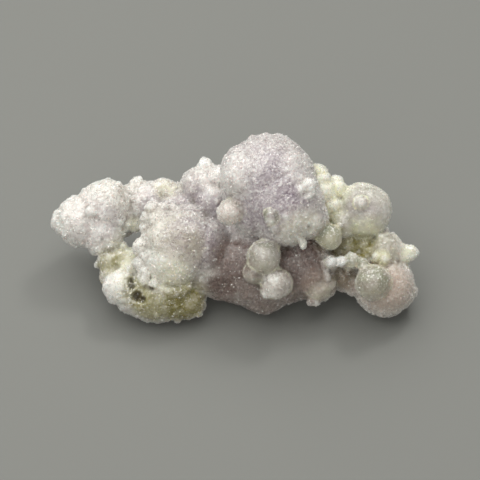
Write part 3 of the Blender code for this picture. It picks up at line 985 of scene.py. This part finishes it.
def druse(name, weights, per_square_mm, least, largest, seed, finish):
    """Crystal points scattered over the stone where the weights are high."""
    ground = skin.copy()
    keep_weights(ground, "thickness", weights)
    piece = bpy.data.objects.new(name, ground)
    bpy.context.scene.collection.objects.link(piece)
    grow = bpy.data.node_groups.new(name, "GeometryNodeTree")
    grow.interface.new_socket("Geometry", in_out="INPUT", socket_type="NodeSocketGeometry")
    grow.interface.new_socket("Geometry", in_out="OUTPUT", socket_type="NodeSocketGeometry")
    put = node_maker(grow)
    thickness = put("GeometryNodeInputNamedAttribute", {"Name": "thickness"}, data_type="FLOAT")
    crowd = put(
        "ShaderNodeMath",
        {0: thickness.outputs["Attribute"], 1: per_square_mm / UNIT**2},
        operation="MULTIPLY",
    )
    seats = put(
        "GeometryNodeDistributePointsOnFaces",
        {
            "Mesh": put("NodeGroupInput").outputs["Geometry"],
            "Density": crowd.outputs[0],
            "Seed": seed,
        },
    )
    lean = put(
        "FunctionNodeRandomValue",
        {
            "Min": (-POINT_LEAN, -POINT_LEAN, 0.0),
            "Max": (POINT_LEAN, POINT_LEAN, math.tau),
            "Seed": seed + 1,
        },
        data_type="FLOAT_VECTOR",
    )
    turned = put(
        "FunctionNodeRotateRotation",
        {
            "Rotation": seats.outputs["Rotation"],
            "Rotate By": put("FunctionNodeEulerToRotation", {"Euler": lean.outputs[0]}).outputs[0],
        },
        rotation_space="LOCAL",
    )
    size = put("FunctionNodeRandomValue", data_type="FLOAT")
    size.inputs[2].default_value = least * UNIT
    size.inputs[3].default_value = largest * UNIT
    size.inputs["Seed"].default_value = seed + 2
    point = put(
        "GeometryNodeMeshCone",
        {"Vertices": POINT_SIDES, "Radius Top": 0.0, "Radius Bottom": POINT_WIDTH, "Depth": 1.0},
    )
    sunk = put(
        "GeometryNodeTransform",
        {"Geometry": point.outputs["Mesh"], "Translation": (0.0, 0.0, -POINT_SINK)},
    )
    standing = put(
        "GeometryNodeInstanceOnPoints",
        {
            "Points": seats.outputs["Points"],
            "Instance": sunk.outputs["Geometry"],
            "Rotation": turned.outputs[0],
            "Scale": size.outputs[1],
        },
    )
    real = put("GeometryNodeRealizeInstances", {"Geometry": standing.outputs["Instances"]})
    put("NodeGroupOutput", {"Geometry": real.outputs["Geometry"]})
    growth = piece.modifiers.new("Grow crystals", "NODES")
    growth.node_group = grow
    graph = bpy.context.evaluated_depsgraph_get()
    crystals = bpy.data.meshes.new_from_object(piece.evaluated_get(graph))
    piece.modifiers.clear()
    piece.data = crystals
    crystals.materials.clear()
    crystals.materials.append(finish)
    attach(piece, "root")


def crystal_finish(name, colour, roughness):
    finish = bpy.data.materials.new(name)
    finish.use_nodes = True
    shader = finish.node_tree.nodes["Principled BSDF"]
    shader.inputs["Base Color"].default_value = colour
    shader.inputs["Roughness"].default_value = roughness
    shader.inputs["Transmission Weight"].default_value = TRANSMISSION
    shader.inputs["IOR"].default_value = CRYSTAL_IOR
    return finish


heights = np.empty(len(skin.vertices) * 3)
skin.vertices.foreach_get("co", heights)
off_table = (heights.reshape(-1, 3)[:, 2] > TABLE_CLEARANCE * UNIT).astype(float)
clean = (1.0 - zones["stain"]) * (1.0 - HOLLOW_LOSS * np.clip(hollow, 0.0, 1.0)) * off_table
plain = (1.0 - zones["frost_and_rim_light"]) * (1.0 - zones["yellow"]) * (1.0 - zones["olive"]) * clean
plain *= 1.0 - SMOOTH_BALL_LOSS * smooth_ball
clean *= 1.0 - SMOOTH_BALL_LOSS * smooth_ball
inner = plain * (1.0 - zones["rose"])
chips = zone_weight(places, CHIP_ZONES)
fine = np.maximum(zones["frost_and_rim_light"], FINE_PALE_SHARE * zones["pale"])
coarse = np.maximum(COARSE_EVERYWHERE + COARSE_FROST * zones["frost_and_rim_light"], chips)
outer = (1.0 - zones["core"]) * (1.0 - zones["pale"])
crystal = {name: crystal_finish(f"{name}_crystal", *look) for name, look in CRYSTAL_LOOKS.items()}
# Where each kind grows, how many to a square millimetre, the least and largest size, and its seed
druse("white_druse_fine", fine * clean, 5.0, 0.12, 0.24, 21, crystal["white"])
druse("white_druse_coarse", coarse * clean, 1.7, 0.16, 0.28, 26, crystal["white"])
druse("cream_druse", zones["yellow"] * clean, 2.0, 0.12, 0.26, 31, crystal["cream"])
druse("lilac_druse", inner * outer, 3.0, 0.12, 0.2, 41, crystal["lilac"])
druse("core_druse", inner * zones["core"], 2.0, 0.12, 0.2, 46, crystal["core"])
druse("olive_druse", zones["olive"] * clean, 1.0, 0.12, 0.22, 51, crystal["olive"])
druse("rose_druse", zones["rose"] * plain, 3.0, 0.12, 0.22, 61, crystal["rose"])

# Table, light and camera. A plain pale grey table, a broad soft window above the stone on its left, a small
# lamp behind it on its right, a weak reflector in front, and an even light from the room. The camera looks
# down on the leaning face from straight ahead, as the specimen was seen.
CAMERA_LENS = 180.0
SENSOR = 36.0
NEAREST_SEEN = 0.005
PICTURE_WIDTH = 66.24
LOOK_AT = (0.83, 11.73, 1.5)
TABLE_HALF_WIDTH = 1.5
TABLE_GREY = srgb(100, 101, 98)
TABLE_ROUGHNESS = 0.7
# Lamps: name, place in metres, width in metres, watts
LAMPS = (
    ("window", (-0.09, 0.08, 0.31), 0.5, 2.15),
    ("lamp", (0.1, 0.14, 0.26), 0.06, 0.25),
    ("reflector", (-0.08, -0.28, 0.2), 0.35, 0.4),
)
LAMP_COLOUR = (1.0, 0.99, 0.95)
LAMPS_AIM = (0.0, 0.0, 0.008)
ROOM_COLOUR = (1.0, 1.0, 0.97, 1.0)
ROOM_STRENGTH = 0.43

camera_data = bpy.data.cameras.new("camera")
camera_data.lens = CAMERA_LENS
camera_data.sensor_width = SENSOR
camera_data.clip_start = NEAREST_SEEN
camera = bpy.data.objects.new("camera", camera_data)
bpy.context.scene.collection.objects.link(camera)
across, up, out = LOOK_AT
distance = PICTURE_WIDTH / SENSOR * CAMERA_LENS
eye = Matrix.Translation(on_table(across, up, out + distance))
camera.matrix_world = eye @ Matrix.Rotation(FACE_TILT, 4, "X")
bpy.context.scene.camera = camera

table_work = bmesh.new()
bmesh.ops.create_grid(table_work, x_segments=1, y_segments=1, size=TABLE_HALF_WIDTH)
table_mesh = bpy.data.meshes.new("table")
table_work.to_mesh(table_mesh)
table_work.free()
table = bpy.data.objects.new("table", table_mesh)
bpy.context.scene.collection.objects.link(table)
table_finish = bpy.data.materials.new("table")
table_finish.use_nodes = True
table_shader = table_finish.node_tree.nodes["Principled BSDF"]
table_shader.inputs["Base Color"].default_value = TABLE_GREY
table_shader.inputs["Roughness"].default_value = TABLE_ROUGHNESS
table_mesh.materials.append(table_finish)

for name, place, width, watts in LAMPS:
    lamp = bpy.data.lights.new(name, "AREA")
    lamp.energy = watts
    lamp.size = width
    lamp.color = LAMP_COLOUR
    lamp_object = bpy.data.objects.new(name, lamp)
    bpy.context.scene.collection.objects.link(lamp_object)
    aim = (Vector(LAMPS_AIM) - Vector(place)).to_track_quat("-Z", "Y")
    lamp_object.matrix_world = Matrix.Translation(place) @ aim.to_matrix().to_4x4()

world = bpy.data.worlds.new("room")
bpy.context.scene.world = world
world.use_nodes = True
room = world.node_tree.nodes["Background"]
room.inputs["Color"].default_value = ROOM_COLOUR
room.inputs["Strength"].default_value = ROOM_STRENGTH
bpy.context.scene.view_settings.view_transform = "Standard"
